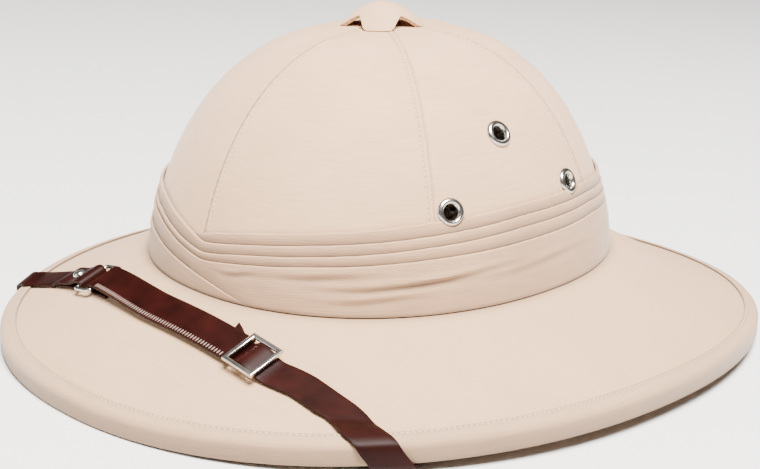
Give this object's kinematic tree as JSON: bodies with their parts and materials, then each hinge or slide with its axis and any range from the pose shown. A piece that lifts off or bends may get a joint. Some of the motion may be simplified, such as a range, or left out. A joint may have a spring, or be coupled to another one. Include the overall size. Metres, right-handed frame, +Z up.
{
  "type": "pith helmet",
  "caption": "Cloth-covered sun helmet with a stitched gored crown, wide bound brim, pleated pugaree, petal vent cap, side eyelets and a leather chin strap with buckle",
  "frame": {"origin": "bottom centre of the bounding box, on the surface that the rim rests on", "axes": "-Y is the front of the helmet, +X the wearer's left, +Z up; the brim is longest along Y"},
  "size_m": [0.3046, 0.3704, 0.1493],
  "materials": {
    "crown_cloth": "khaki cotton twill over a pressed shell",
    "brim_cloth": "khaki cotton twill over a pressed shell",
    "band_cloth": "khaki cotton twill, wound and pleated",
    "cap_cloth": "khaki cotton twill over a small shell",
    "leather": "dark red-brown strap leather, waxed",
    "nickel": "polished nickel plate"
  },
  "bodies": {
    "root": {"crown_panel_1": "crown_cloth", "crown_panel_2": "crown_cloth", "crown_panel_3": "crown_cloth", "crown_panel_4": "crown_cloth", "crown_panel_5": "crown_cloth", "crown_panel_6": "crown_cloth", "brim": "brim_cloth", "brim_binding": "brim_cloth", "pugaree": "band_cloth", "vent_cap": "cap_cloth", "eyelet_1": "nickel", "eyelet_2": "nickel", "eyelet_3": "nickel", "eyelet_4": "nickel", "eyelet_5": "nickel", "eyelet_6": "nickel", "strap_stud": "nickel", "strap_ring": "nickel", "buckle": "nickel", "strap_rivet_1": "nickel", "strap_rivet_2": "nickel", "strap_tab": "leather", "strap_upper": "leather", "strap_lower": "leather"}
  },
  "joints": []
}
